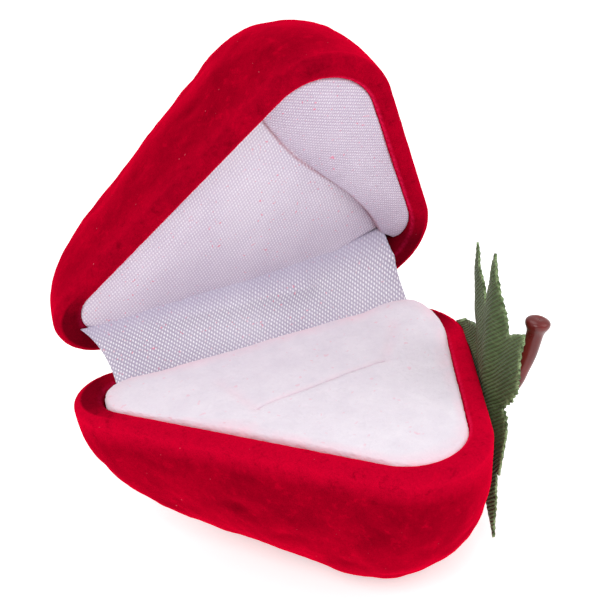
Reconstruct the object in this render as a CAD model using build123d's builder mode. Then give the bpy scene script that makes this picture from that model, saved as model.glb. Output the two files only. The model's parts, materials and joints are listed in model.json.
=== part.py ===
from build123d import *
import math
import os

# A hinged ring box in the shape of a strawberry: two domed halves covered in velvet, a flocked ring
# cushion in the lower half, a satin lining in the lid, and a leafy calyx with a stem at the wide end.
# Row frame, mm: +X along the hinge towards the stem end, -Y to the front, +Z up.
# The origin is the centre of the flat foot that the box stands on. The lid is open.

os.makedirs("parts", exist_ok=True)

# Plan of the parting line: a triangle with one side along the hinge, its sharp corners rounded.
# Its own axis runs from the tip, at u = 0, to the wide end; v points towards the hinge side.
SIDE = 76.0  # hinge side and front side, each to its sharp corners
HALF_TIP = 22.2  # half of the angle at the tip, degrees
TIP_ROUND = 0.38  # corner radii as shares of the outline's inner radius
WIDE_ROUND = 0.568
END = SIDE * math.cos(math.radians(HALF_TIP))  # the wide end, along the axis
PIVOT = 50.0  # station along the axis that the sides turn about as the dome closes in
FOOT_STATION = 50.0  # station of the foot's centre, which is the origin

# Dome of each half
BASE_DEPTH = 28.0  # parting plane to the deepest point of the full dome
LID_DEPTH = 26.2
DOME_REACH = 25.6  # how far in from the rim the dome closes
DOME_POWER = 3.2  # 2 is an ellipse, more is fuller
SPLAY = 20.0  # the sides open by this angle at full depth, so the tip is shallower, degrees
SPLAY_POWER = 3.2
DOME_STEPS = 6
BACK_FULLNESS = 0.3  # the lower half is fuller at the back, which moves its foot under the open lid
FOOT_ANGLE = 60.0  # the lower dome stops here at its flat foot, degrees
LID_ANGLE = 75.0  # the lid's dome ends here in a small crown, degrees
FLOOR_ANGLE = 40.0  # the lower hollow stops here, which leaves a heavy floor, degrees
RIM_HEIGHT = BASE_DEPTH * math.sin(math.radians(FOOT_ANGLE)) ** (2 / DOME_POWER)  # foot to parting plane

# Walls
SKIN = 0.75  # velvet and its backing
WALL = 1.6  # moulded shell
LID_CROWN_WALL = 1.1  # the lid's shell thins towards its crown
RIM = WALL + 2 * SKIN  # width of the velvet rim
HEM = 5.0  # depth that the velvet turns in at the rim
HEM_INSET = 2.75  # outer face of the hem, clear of the shell
HEM_FALL = 0.22  # how far down the dome the hem reaches, as a share of its depth
RIM_ROUND = 1.2

# Steel weight in a recess of the lower floor, which keeps the open box standing
WEIGHT_RADIUS = 9.0
WEIGHT = 2.4
WEIGHT_FORWARD = 3.0
WEIGHT_CLEARANCE = 0.05

# Hinge
OPEN_ANGLE = 70.0  # from closed, degrees
HINGE_BACK = 2.2  # pin centre behind the outer wall
HINGE_STATION = 39.0  # hinge centre, along the hinge side from the sharp tip corner
HINGE_LENGTH = 24.0
END_KNUCKLE = 4.0
BARREL_RADIUS = 1.5
PIN_RADIUS = 0.7
PIN_CLEARANCE = 0.05
LEAF = 0.45  # sheet thickness
LEAF_DROP = 7.6
LEAF_STANDOFF = 0.2  # leaf to hem
LEAF_GAP = 0.05  # each leaf below the parting plane
KNUCKLE_GAP = 0.1
PIN_HEAD_RADIUS = 1.1
PIN_HEAD = 0.5
RIVET_RADIUS = 0.5
RIVET_CLEARANCE = 0.02
RIVET_HEAD_RADIUS = 0.9
RIVET_HEAD = 0.35
RIVET_SHANK = 2.2
RIVET_SPACING = 16.0
RIVET_DROP = 6.5  # from the parting plane

# Ring cushion
PAD_GAP = 0.6  # cushion to velvet hem
PAD_BACK = 5.6  # cushion's straight back edge, in from the outer wall
PAD_TOP = -0.3  # from the parting plane
PAD_BOTTOM = -12.6
COVER = 0.8
BOARD = 1.0
BOARD_INSET = 5.5
BOARD_FALL = 0.49  # how far down the dome the card is, as a share of its depth
SLOT_LENGTH = 21.0
SLOT_WIDTH = 1.0
SLOT_DEPTH = 8.0
SLOT_STATION = 44.4  # along the hinge side
SLOT_IN = 19.0  # in from the outer wall
SLOT_TURN = 8.0  # from the hinge direction, degrees

# Lid lining: a card that gets deeper towards the wide end, wadding, satin, and a padded end panel
LINING_SLOPE = 0.087
LINING_START = -0.5  # depth of the satin's face at the sharp tip corner
SATIN = 0.5
WADDING = 1.0
LID_BOARD = 0.8
LINING_INSET = RIM + 0.5
LINING_BACK = 4.9
END_PANEL_FACE = 1.2
END_PANEL_INSET = RIM + 1.0
END_PANEL_BACK = 9.5
CREASE_START = (42.2, -35.4)  # from the sharp tip corner: along the hinge side, and out to the back
CREASE_END = (64.3, -7.5)

# Satin strip over the hinge
STRIP = 0.4
STRIP_IN = 5.05  # in from the outer wall, between the cushion and the hinge leaf
STRIP_DROP = 5.0
# each end: station along the hinge side; its top edge in from the lid's outer wall; depth in the lid
STRIP_ENDS = [(19.0, 4.6, 0.8), (63.0, 7.4, 1.2)]

# Calyx and stem, on the middle of the wide end, below the parting line
CALYX_SIDE = -1.4  # across the axis
CALYX_DROP = 4.0  # below the parting plane
CALYX_LIFT = 0.3
CALYX_SHEET = 0.45
CALYX_DISC_RADIUS = 4.0
LOBE_WIDTH = 7.4
# each lobe: direction round the stem from straight up, towards the hinge; length; lean away from the wall
LOBES = [
    (31, 22.8, 4),
    (3, 22.3, 6),
    (-22, 14.5, 17),
    (-120, 11.0, 9),
    (-148, 19.0, 5),
    (165, 14.0, 6),
    (90, 22.5, 4),
]
STEM_RADIUS = 1.0
STEM_CLEARANCE = 0.03
PEG_DEPTH = 2.2
KNOB_RADIUS = 1.3
KNOB_OUT = 2.0
BULB_RADIUS = 1.7
# start, middle and end of the stalk's curve: out from the wall, then up from the peg
STALK = [(2.2, 0.4), (5.3, 6.0), (8.0, 12.7)]

TURN = math.radians(HALF_TIP)
AXIS_DIRECTION = (math.cos(TURN), -math.sin(TURN), 0)
APEX_X = -FOOT_STATION * math.cos(TURN)  # sharp tip corner, which is also on the outer back wall's line
APEX_Y = FOOT_STATION * math.sin(TURN)
HINGE_Y = APEX_Y + HINGE_BACK
HINGE_X = APEX_X + HINGE_STATION
CALYX_PLANE = Plane(
    origin=(
        APEX_X + END * math.cos(TURN) + CALYX_SIDE * math.sin(TURN),
        APEX_Y - END * math.sin(TURN) + CALYX_SIDE * math.cos(TURN),
        RIM_HEIGHT - CALYX_DROP,
    ),
    x_dir=(math.sin(TURN), math.cos(TURN), 0),
    z_dir=AXIS_DIRECTION,
)
OPENED = Pos(0, HINGE_Y, RIM_HEIGHT) * Rot(X=-OPEN_ANGLE) * Pos(0, -HINGE_Y, -RIM_HEIGHT)


# ---------------------------------------------------------------- placing


def level(height, lid):
    """Plane along the fruit's axis, height above the parting plane (closed), in either half."""
    flat = Plane(origin=(APEX_X, APEX_Y, RIM_HEIGHT + height), x_dir=AXIS_DIRECTION, z_dir=(0, 0, 1))
    return Plane(OPENED * flat.location) if lid else flat


def hinge_plane(x, lid):
    """Cross-section plane of the hinge: its x is the row's Y, its y is the row's Z, when closed."""
    cut = Plane(origin=(x, HINGE_Y, RIM_HEIGHT), x_dir=(0, 1, 0), z_dir=(1, 0, 0))
    return Plane(OPENED * cut.location) if lid else cut


def side_plane(height, lid):
    """Plane parallel to the parting plane with its x along the hinge, from the sharp tip corner."""
    flat = Plane(origin=(APEX_X, APEX_Y, RIM_HEIGHT + height), x_dir=(1, 0, 0), z_dir=(0, 0, 1))
    return Plane(OPENED * flat.location) if lid else flat


def lining_plane(depth):
    """Sloping plane in the open lid, depth beyond the face of the satin."""
    closed = Plane(
        origin=(APEX_X, APEX_Y, RIM_HEIGHT + LINING_START + depth),
        x_dir=(1, 0, LINING_SLOPE),
        z_dir=(-LINING_SLOPE, 0, 1),
    )
    return Plane(OPENED * closed.location)


# ---------------------------------------------------------------- outlines and domes


def outline(plane, inset, back_inset=None, fall=0, offset=0):
    """One rounded triangle, its sides moved in, and opened about the pivot station as the dome falls.

    fall is 0 at the rim and 1 at the dome's full depth; offset is how far the whole dome is set in.
    """
    half = math.radians(HALF_TIP + SPLAY * fall**SPLAY_POWER)
    front = PIVOT * math.tan(TURN) - inset / math.cos(TURN)
    back = PIVOT * math.tan(TURN) - (inset if back_inset is None else back_inset) / math.cos(TURN)
    end = END - inset
    spread = (end - PIVOT) * math.tan(half)
    tip = (PIVOT - (front + back) / 2 / math.tan(half), (back - front) / 2)
    width = front + back + 2 * spread
    length = end - tip[0]
    inner = width * length / (width + 2 * math.hypot(length, width / 2))
    shrink = offset * (1 - fall)
    tip_radius = (TIP_ROUND + 0.2 * fall**2) * (inner + shrink) - shrink
    wide_radius = (WIDE_ROUND + 0.3 * fall**2) * (inner + shrink) - shrink
    with BuildSketch(plane) as shape:
        with BuildLine():
            Polyline(tip, (end, back + spread), (end, -front - spread), close=True)
        make_face()
        fillet(vertices().sort_by(Axis.X)[0], tip_radius)
        fillet(vertices().group_by(Axis.X)[-1], wide_radius)
    return shape.sketch.face()


def dome(offset, depth, start, last_angle, lid, mode=Mode.ADD):
    """Solid dome hanging from the parting plane, offset in from the outer surface."""
    fullness = 0 if lid else BACK_FULLNESS
    sign = 1 if lid else -1
    sections = []
    for step in range(DOME_STEPS + 1):
        angle = math.radians(last_angle * (step / DOME_STEPS) ** 0.8)
        fall = math.sin(angle) ** (2 / DOME_POWER)
        closing = (DOME_REACH - offset) * (1 - math.cos(angle) ** (2 / DOME_POWER))
        back_inset = offset + closing * (1 - fullness * fall**2)
        place = level(sign * (start + depth * fall), lid)
        sections.append(outline(place, offset + closing, back_inset, fall, offset))
    loft(sections, mode=mode)


def shell(last_angle, inner_angle, lid):
    """Moulded shell: its own dome, set in by the velvet, less the hollow."""
    depth = LID_DEPTH if lid else BASE_DEPTH
    crown = LID_CROWN_WALL if lid else WALL
    dome(SKIN, depth - 2 * SKIN, SKIN, last_angle, lid)
    dome(SKIN + WALL, depth - SKIN - crown, 0, inner_angle, lid, Mode.SUBTRACT)


def velvet(last_angle, lid):
    """Velvet skin over the outside of a moulding, over its rim and down inside as a hem."""
    sign = 1 if lid else -1
    depth = LID_DEPTH if lid else BASE_DEPTH
    dome(0, depth, 0, last_angle, lid)
    parting = level(0, lid)
    rim_face = faces().filter_by(lambda face: abs(parting.to_local_coords(face.center()).Z) < 0.01)
    fillet(rim_face.edges(), RIM_ROUND)
    dome(SKIN, depth - 2 * SKIN, SKIN, last_angle, lid, Mode.SUBTRACT)
    extrude(level_outline(0, HEM_INSET, lid, None, HEM_FALL), amount=sign * HEM)
    extrude(level_outline(0, RIM, lid, None, HEM_FALL), amount=sign * HEM, mode=Mode.SUBTRACT)


def level_outline(height, inset, lid, back_inset=None, fall=0):
    """Outline parallel to the rim, an even distance in from the outer wall."""
    return outline(level(height, lid), inset, back_inset, fall, inset)


def rim_notch(lid):
    """Shallow notch across the velvet rim that the hinge leaf lies in."""
    sign = 1 if lid else -1
    with BuildSketch(side_plane(0, lid)) as notch:
        with Locations((HINGE_STATION, 0)):
            Rectangle(HINGE_LENGTH + 1.0, 2 * (RIM + 1.0))
    extrude(notch.sketch, amount=sign * SKIN, mode=Mode.SUBTRACT)


# ---------------------------------------------------------------- hinge


def rivet_plane(side, lid):
    """Plane through the pin's axis, across one rivet; its normal points to the back when closed."""
    sign = 1 if lid else -1
    place = hinge_plane(HINGE_X + side * RIVET_SPACING / 2, lid)
    return Plane(place.from_local_coords(Vector(0, sign * RIVET_DROP, 0)), z_dir=place.x_dir)


def disc(plane, radius):
    """Round face on a plane."""
    with BuildSketch(plane) as round_face:
        Circle(radius)
    return round_face.sketch


def rivet_holes(lid):
    """Holes that the rivets pass through, from inside the hollow into the wall."""
    for side in (-1, 1):
        bottom = rivet_plane(side, lid).offset(-HINGE_BACK - SKIN - 0.7)
        extrude(disc(bottom, RIVET_RADIUS + RIVET_CLEARANCE), amount=-4.0, mode=Mode.SUBTRACT)


def leaf_section(x, reach, lid, barrel):
    """Sheet bent over the rim and down inside the hollow, with the barrel where there is a knuckle."""
    sign = 1 if lid else -1
    top = sign * LEAF_GAP
    under = top + sign * LEAF
    end = top + sign * LEAF_DROP
    near = -HINGE_BACK - RIM - LEAF_STANDOFF
    far = near - LEAF
    with BuildSketch(hinge_plane(x, lid)) as section:
        with BuildLine():
            Polyline(
                (reach, top),
                (far, top),
                (far, end),
                (near, end),
                (near, under),
                (reach, under),
                close=True,
            )
        make_face()
        if barrel:
            Circle(BARREL_RADIUS)
            Circle(PIN_RADIUS + PIN_CLEARANCE, mode=Mode.SUBTRACT)
    return section.sketch


def hinge_leaf(lid):
    """One leaf: the lower one has the two end knuckles, the lid's the long middle one."""
    half = HINGE_LENGTH / 2
    inner = half - END_KNUCKLE
    ends = [(-half, -inner), (inner, half)]
    middle = [(-inner, inner)]
    for start, stop in middle if lid else ends:
        gap = KNUCKLE_GAP if lid else 0
        section = leaf_section(HINGE_X + start + gap, 0, lid, True)
        extrude(section, amount=stop - start - 2 * gap)
    for start, stop in ends if lid else middle:
        section = leaf_section(HINGE_X + start, -BARREL_RADIUS - KNUCKLE_GAP, lid, False)
        extrude(section, amount=stop - start)
    if lid:
        section = leaf_section(HINGE_X - inner - KNUCKLE_GAP, -BARREL_RADIUS - KNUCKLE_GAP, lid, False)
        extrude(section, amount=2 * (inner + KNUCKLE_GAP))
    rivet_holes(lid)


def rivets(lid):
    """Two small flat-headed rivets through the leaf into the wall."""
    for side in (-1, 1):
        seat = rivet_plane(side, lid).offset(-HINGE_BACK - RIM - LEAF_STANDOFF - LEAF)
        extrude(disc(seat, RIVET_HEAD_RADIUS), amount=-RIVET_HEAD)
        extrude(disc(seat, RIVET_RADIUS), amount=RIVET_SHANK)


# ---------------------------------------------------------------- lower half

FLOOR_FALL = math.sin(math.radians(FLOOR_ANGLE)) ** (2 / DOME_POWER)
FLOOR_TOP = RIM_HEIGHT - (BASE_DEPTH - SKIN - WALL) * FLOOR_FALL
weight_seat = Plane((0, -WEIGHT_FORWARD, FLOOR_TOP - WEIGHT - WEIGHT_CLEARANCE))

with BuildPart() as base_shell:
    shell(FOOT_ANGLE, FLOOR_ANGLE, False)
    rivet_holes(False)
    extrude(disc(weight_seat, WEIGHT_RADIUS + WEIGHT_CLEARANCE), amount=2 * WEIGHT, mode=Mode.SUBTRACT)
    extrude(disc(CALYX_PLANE.offset(2), STEM_RADIUS + STEM_CLEARANCE), amount=-7, mode=Mode.SUBTRACT)
base_shell.part.label = "base_shell"
export_step(base_shell.part, "parts/base_shell.step")

with BuildPart() as base_velvet:
    velvet(FOOT_ANGLE, False)
    rim_notch(False)
    extrude(disc(CALYX_PLANE.offset(2), STEM_RADIUS + STEM_CLEARANCE), amount=-7, mode=Mode.SUBTRACT)
base_velvet.part.label = "base_velvet"
export_step(base_velvet.part, "parts/base_velvet.step")

with BuildPart() as base_weight:
    extrude(disc(weight_seat, WEIGHT_RADIUS), amount=WEIGHT)
base_weight.part.label = "base_weight"
export_step(base_weight.part, "parts/base_weight.step")

with BuildPart() as base_hinge_leaf:
    hinge_leaf(False)
base_hinge_leaf.part.label = "base_hinge_leaf"
export_step(base_hinge_leaf.part, "parts/base_hinge_leaf.step")

with BuildPart() as base_hinge_rivets:
    rivets(False)
base_hinge_rivets.part.label = "base_hinge_rivets"
export_step(base_hinge_rivets.part, "parts/base_hinge_rivets.step")

with BuildPart() as hinge_pin:
    pin_start = hinge_plane(HINGE_X - HINGE_LENGTH / 2, False)
    extrude(disc(pin_start, PIN_RADIUS), amount=HINGE_LENGTH)
    extrude(disc(pin_start, PIN_HEAD_RADIUS), amount=-PIN_HEAD)
    extrude(disc(pin_start.offset(HINGE_LENGTH), PIN_HEAD_RADIUS), amount=PIN_HEAD)
hinge_pin.part.label = "hinge_pin"
export_step(hinge_pin.part, "parts/hinge_pin.step")

# Ring cushion: a card, a foam block and a flocked cover, with one slit for the ring
PAD_INSET = RIM + PAD_GAP
FOAM_TOP = PAD_TOP - COVER
slot_plane = side_plane(PAD_TOP, False)

with BuildSketch(slot_plane) as slot:
    with Locations((SLOT_STATION, -SLOT_IN)):
        Rectangle(SLOT_LENGTH, SLOT_WIDTH, rotation=SLOT_TURN)

with BuildPart() as pad_board:
    extrude(level_outline(PAD_BOTTOM, BOARD_INSET, False, None, BOARD_FALL), amount=-BOARD)
pad_board.part.label = "pad_board"
export_step(pad_board.part, "parts/pad_board.step")

with BuildPart() as ring_foam:
    foam_bottom = level_outline(PAD_BOTTOM, BOARD_INSET + 0.2, False, PAD_BACK + 0.4, BOARD_FALL)
    loft([level_outline(FOAM_TOP, PAD_INSET, False, PAD_BACK, HEM_FALL), foam_bottom], ruled=True)
    extrude(slot.sketch, amount=-SLOT_DEPTH, mode=Mode.SUBTRACT)
ring_foam.part.label = "ring_foam"
export_step(ring_foam.part, "parts/ring_foam.step")

with BuildPart() as pad_cover:
    extrude(level_outline(FOAM_TOP, PAD_INSET, False, PAD_BACK, HEM_FALL), amount=COVER)
    extrude(slot.sketch, amount=-SLOT_DEPTH, mode=Mode.SUBTRACT)
pad_cover.part.label = "pad_cover"
export_step(pad_cover.part, "parts/pad_cover.step")

# Calyx: a cloth star of pointed lobes round the stem
with BuildPart() as calyx:
    extrude(disc(CALYX_PLANE.offset(CALYX_LIFT), CALYX_DISC_RADIUS), amount=CALYX_SHEET)
    for turn, length, lean in LOBES:
        around = Vector(math.sin(math.radians(turn)), math.cos(math.radians(turn)), 0)
        tilt = math.radians(lean)
        along = around * math.cos(tilt) + Vector(0, 0, math.sin(tilt))
        facing = around * -math.sin(tilt) + Vector(0, 0, math.cos(tilt))
        centre = CALYX_PLANE.offset(CALYX_LIFT)
        x_axis = centre.from_local_coords(along) - centre.origin
        z_axis = centre.from_local_coords(facing) - centre.origin
        with BuildSketch(Plane(origin=centre.origin, x_dir=x_axis, z_dir=z_axis)) as lobe:
            with BuildLine():
                ThreePointArc((0, -1.2), (0.42 * length, -LOBE_WIDTH / 2), (length, 0))
                ThreePointArc((length, 0), (0.42 * length, LOBE_WIDTH / 2), (0, 1.2))
                Line((0, 1.2), (0, -1.2))
            make_face()
        extrude(lobe.sketch, amount=CALYX_SHEET)
    extrude(disc(CALYX_PLANE.offset(4), STEM_RADIUS + STEM_CLEARANCE), amount=-6, mode=Mode.SUBTRACT)
calyx.part.label = "calyx"
export_step(calyx.part, "parts/calyx.step")

# Stem: a peg in the wall, a knob outside the calyx, and a curved stalk that ends in a bulb
with BuildPart() as stem:
    extrude(disc(CALYX_PLANE.offset(-PEG_DEPTH), STEM_RADIUS), amount=PEG_DEPTH + KNOB_OUT)
    stem_plane = Plane(origin=CALYX_PLANE.origin, x_dir=AXIS_DIRECTION, z_dir=CALYX_PLANE.x_dir * -1)
    with BuildLine(stem_plane) as stalk:
        ThreePointArc(*STALK)
    sweep(disc(Plane(stalk.line @ 0, z_dir=stalk.line % 0), STEM_RADIUS), path=stalk.line)
    with Locations(stalk.line @ 0):
        Sphere(KNOB_RADIUS)
    with Locations(stalk.line @ 1):
        Sphere(BULB_RADIUS)
stem.part.label = "stem"
export_step(stem.part, "parts/stem.step")

# Satin strip from behind the cushion up to the lid's lining, over the hinge
with BuildPart() as satin_strip:
    strip_sections = []
    for station, top_in, top_depth in STRIP_ENDS:
        place = hinge_plane(APEX_X + station, False)
        lid_place = hinge_plane(APEX_X + station, True)
        top = place.to_local_coords(lid_place.from_local_coords(Vector(-HINGE_BACK - top_in, top_depth, 0)))
        foot = -HINGE_BACK - STRIP_IN
        with BuildSketch(place) as section:
            with BuildLine():
                Polyline(
                    (foot, -STRIP_DROP),
                    (foot, 0),
                    (top.X, top.Y),
                    (top.X + STRIP, top.Y),
                    (foot + STRIP, 0),
                    (foot + STRIP, -STRIP_DROP),
                    close=True,
                )
            make_face()
        strip_sections.append(section.sketch.face())
    loft(strip_sections, ruled=True)
satin_strip.part.label = "satin_strip"
export_step(satin_strip.part, "parts/satin_strip.step")

# ---------------------------------------------------------------- lid

with BuildPart() as lid_shell:
    shell(LID_ANGLE, LID_ANGLE, True)
    rivet_holes(True)
lid_shell.part.label = "lid_shell"
export_step(lid_shell.part, "parts/lid_shell.step")

with BuildPart() as lid_velvet:
    velvet(LID_ANGLE, True)
    rim_notch(True)
lid_velvet.part.label = "lid_velvet"
export_step(lid_velvet.part, "parts/lid_velvet.step")

with BuildPart() as lid_hinge_leaf:
    hinge_leaf(True)
lid_hinge_leaf.part.label = "lid_hinge_leaf"
export_step(lid_hinge_leaf.part, "parts/lid_hinge_leaf.step")

with BuildPart() as lid_hinge_rivets:
    rivets(True)
lid_hinge_rivets.part.label = "lid_hinge_rivets"
export_step(lid_hinge_rivets.part, "parts/lid_hinge_rivets.step")


def lining_layer(near, far):
    """Flat layer of the lining between two depths beyond the face of the satin."""
    extrude(level_outline(0, LINING_INSET, True, LINING_BACK, HEM_FALL), amount=12)
    split(bisect_by=lining_plane(near), keep=Keep.TOP)
    split(bisect_by=lining_plane(far), keep=Keep.BOTTOM)


with BuildPart() as lid_satin:
    lining_layer(0, SATIN)
lid_satin.part.label = "lid_satin"
export_step(lid_satin.part, "parts/lid_satin.step")

with BuildPart() as lid_wadding:
    lining_layer(SATIN, SATIN + WADDING)
lid_wadding.part.label = "lid_wadding"
export_step(lid_wadding.part, "parts/lid_wadding.step")

with BuildPart() as lid_board:
    lining_layer(SATIN + WADDING, SATIN + WADDING + LID_BOARD)
lid_board.part.label = "lid_board"
export_step(lid_board.part, "parts/lid_board.step")

# Padded satin panel across the wide end, folded up from the lining along a slanting crease
crease_run = Vector(CREASE_END[0] - CREASE_START[0], CREASE_END[1] - CREASE_START[1], 0)
crease_closed = Plane(
    origin=(APEX_X + CREASE_START[0], APEX_Y + CREASE_START[1], RIM_HEIGHT),
    x_dir=crease_run,
    z_dir=(-crease_run.Y, crease_run.X, 0),
)
panel_back = Plane(origin=(0, APEX_Y - END_PANEL_BACK, RIM_HEIGHT), z_dir=(0, 1, 0))

with BuildPart() as lid_end_panel:
    extrude(level_outline(END_PANEL_FACE, END_PANEL_INSET, True, None, HEM_FALL), amount=12)
    split(bisect_by=Plane(OPENED * panel_back.location), keep=Keep.BOTTOM)
    split(bisect_by=lining_plane(-0.05), keep=Keep.BOTTOM)
    split(bisect_by=Plane(OPENED * crease_closed.location), keep=Keep.BOTTOM)
lid_end_panel.part.label = "lid_end_panel"
export_step(lid_end_panel.part, "parts/lid_end_panel.step")
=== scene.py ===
import json
import math
import random

import bpy
import numpy as np
from mathutils import Matrix, Vector, geometry, noise
from mathutils.bvhtree import BVHTree


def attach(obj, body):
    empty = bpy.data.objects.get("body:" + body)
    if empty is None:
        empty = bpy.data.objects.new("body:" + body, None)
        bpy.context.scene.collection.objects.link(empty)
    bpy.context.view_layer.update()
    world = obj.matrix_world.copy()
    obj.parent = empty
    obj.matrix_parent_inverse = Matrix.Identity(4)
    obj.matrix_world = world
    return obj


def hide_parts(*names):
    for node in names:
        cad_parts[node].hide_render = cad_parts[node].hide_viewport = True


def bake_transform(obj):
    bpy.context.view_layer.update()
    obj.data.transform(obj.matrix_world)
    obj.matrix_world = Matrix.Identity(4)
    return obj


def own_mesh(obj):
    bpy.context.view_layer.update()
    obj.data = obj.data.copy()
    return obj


# Looks of a strawberry-shaped ring box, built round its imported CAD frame.
# Lengths are in mm inside this script and become metres in make_mesh().
# "Hinge frame": x along the hinge side from its sharp tip corner, y = 0 on the outer back wall
# (negative to the front), height from the parting plane. The lid's shapes are given closed.

MM = 0.001

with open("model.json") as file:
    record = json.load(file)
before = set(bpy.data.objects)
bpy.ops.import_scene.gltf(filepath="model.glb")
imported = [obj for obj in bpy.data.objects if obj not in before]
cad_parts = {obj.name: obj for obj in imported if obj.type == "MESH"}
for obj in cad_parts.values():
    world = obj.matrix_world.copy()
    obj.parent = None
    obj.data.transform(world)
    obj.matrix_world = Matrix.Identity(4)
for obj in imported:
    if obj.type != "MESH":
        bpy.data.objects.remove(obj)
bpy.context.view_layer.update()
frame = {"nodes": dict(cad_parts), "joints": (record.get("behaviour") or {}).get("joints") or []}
hinge = frame["joints"][0]

# ------------------------------------------------ the CAD's own dimensions

SIDE = 76.0
TURN = math.radians(22.2)
SPLAY = math.radians(20.0)
SPLAY_POWER = 3.2
END = SIDE * math.cos(TURN)
PIVOT = 50.0
BASE_DEPTH = 28.0
LID_DEPTH = 26.2
DOME_REACH = 25.6
DOME_POWER = 3.2
BACK_FULLNESS = 0.3
FOOT_ANGLE = 60.0
SKIN = 0.75
RIM = 3.1
HEM = 5.0
HEM_INSET = 2.75
HEM_FALL = 0.22
HINGE_BACK = 2.2
HINGE_STATION = 39.0
HINGE_LENGTH = 24.0
LINING_SLOPE = 0.087
LINING_START = -0.5
LINING_INSET = 3.6
LINING_BACK = 4.9
PAD_INSET = 3.7
PAD_BACK = 5.6
PAD_TOP = -0.3
PAD_BOTTOM = -12.6
CALYX_SIDE = -1.4
CALYX_DROP = 4.0

HINGE_AXIS = np.array(hinge["pos_m"]) / MM
OPENING = math.radians(hinge["range_deg"][1])
APEX = HINGE_AXIS - np.array([HINGE_STATION, HINGE_BACK, 0])
RIM_HEIGHT = APEX[2]


# ------------------------------------------------ outlines

def unit(v):
    return v / np.linalg.norm(v)


def clamped(x):
    """x, kept between 0 and 1."""
    return np.clip(x, 0, 1)


def corner_arc(corner, before, after, radius, count):
    """Arc that rounds a corner, with both of its ends."""
    a, b = unit(before - corner), unit(after - corner)
    half = math.acos(np.clip(a @ b, -1, 1)) / 2
    centre = corner + unit(a + b) * radius / math.sin(half)
    start = corner + a * radius / math.tan(half) - centre
    stop = corner + b * radius / math.tan(half) - centre
    sweep = math.atan2(start[0] * stop[1] - start[1] * stop[0], start @ stop)
    t = np.linspace(0, sweep, count)
    c, s = np.cos(t), np.sin(t)
    return centre + np.stack([start[0] * c - start[1] * s, start[0] * s + start[1] * c], 1)


def outline(inset, back_inset=None, fall=0.0, offset=0.0, detail=10):
    """The CAD's rounded triangle in the hinge frame, as a loop with a fixed number of points."""
    half = TURN + SPLAY * fall**SPLAY_POWER
    front = PIVOT * math.tan(TURN) - inset / math.cos(TURN)
    back = PIVOT * math.tan(TURN) - (inset if back_inset is None else back_inset) / math.cos(TURN)
    end = END - inset
    spread = (end - PIVOT) * math.tan(half)
    tip = np.array([PIVOT - (front + back) / 2 / math.tan(half), (back - front) / 2])
    width = front + back + 2 * spread
    length = end - tip[0]
    inner = width * length / (width + 2 * math.hypot(length, width / 2))
    shrink = offset * (1 - fall)
    tip_radius = (0.38 + 0.2 * fall**2) * (inner + shrink) - shrink
    wide_radius = (0.568 + 0.3 * fall**2) * (inner + shrink) - shrink
    hinge_corner = np.array([end, back + spread])
    front_corner = np.array([end, -front - spread])
    arcs = [
        corner_arc(tip, front_corner, hinge_corner, tip_radius, 4 * detail),
        corner_arc(hinge_corner, tip, front_corner, wide_radius, 5 * detail),
        corner_arc(front_corner, hinge_corner, tip, wide_radius, 5 * detail),
    ]
    runs = [11 * detail, 5 * detail, 11 * detail]
    points = []
    for i, arc in enumerate(arcs):
        after = arcs[(i + 1) % 3][0]
        t = np.linspace(0, 1, runs[i] + 2)[1:-1, None]
        points += [arc, arc[-1] + (after - arc[-1]) * t]
    return axis_to_hinge(np.concatenate(points))


def axis_to_hinge(p):
    """(along the fruit's axis, across it) to the hinge frame."""
    u, v = p[:, 0], p[:, 1]
    c, s = math.cos(TURN), math.sin(TURN)
    return np.stack([u * c + v * s, v * c - u * s], 1)


def placed(xy, height):
    """Row-frame points from the hinge frame."""
    return np.column_stack([xy, np.full(len(xy), height)]) + APEX


def opened(p):
    """Points of the closed lid, turned to its open pose."""
    y, z = p[:, 1] - HINGE_AXIS[1], p[:, 2] - HINGE_AXIS[2]
    c, s = math.cos(OPENING), math.sin(OPENING)
    return np.stack([p[:, 0], HINGE_AXIS[1] + y * c + z * s, HINGE_AXIS[2] - y * s + z * c], 1)


# ------------------------------------------------ meshes

def make_mesh(name, points, faces, uv=None, fields=None):
    """Smooth mesh object from points in mm, with a UV map in mm and named vertex fields."""
    mesh = bpy.data.meshes.new(name)
    mesh.from_pydata((np.asarray(points) * MM).tolist(), [], faces)
    mesh.validate()
    if uv is not None:
        layer = mesh.uv_layers.new(name="cloth")
        index = np.empty(len(mesh.loops), np.int32)
        mesh.loops.foreach_get("vertex_index", index)
        layer.data.foreach_set("uv", np.asarray(uv, np.float32)[index].ravel())
    for field, values in (fields or {}).items():
        layer = mesh.attributes.new(field, "FLOAT", "POINT")
        layer.data.foreach_set("value", np.asarray(values, np.float32))
    mesh.shade_smooth()
    piece = bpy.data.objects.new(name, mesh)
    bpy.context.scene.collection.objects.link(piece)
    return piece


def ring_faces(count, around):
    """Faces of a stack of rings, with a fan to one extra point at each end."""
    faces = []
    for r in range(count - 1):
        a, b = r * around, (r + 1) * around
        for i in range(around):
            j = (i + 1) % around
            faces.append((a + i, b + i, b + j, a + j))
    first, last, top = count * around, count * around + 1, (count - 1) * around
    for i in range(around):
        j = (i + 1) % around
        faces.append((first, i, j))
        faces.append((last, top + j, top + i))
    return faces


def normals_of(points, faces):
    """Vertex normals."""
    n = np.zeros_like(points)
    for size in (3, 4):
        f = np.array([x for x in faces if len(x) == size], int).reshape(-1, size)
        if len(f):
            one = points[f[:, 2]] - points[f[:, 0]]
            other = points[f[:, -1]] - points[f[:, 1]]
            flat = np.cross(one, other)
            for k in range(size):
                np.add.at(n, f[:, k], flat)
    return n / np.maximum(np.linalg.norm(n, axis=1), 1e-9)[:, None]


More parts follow.
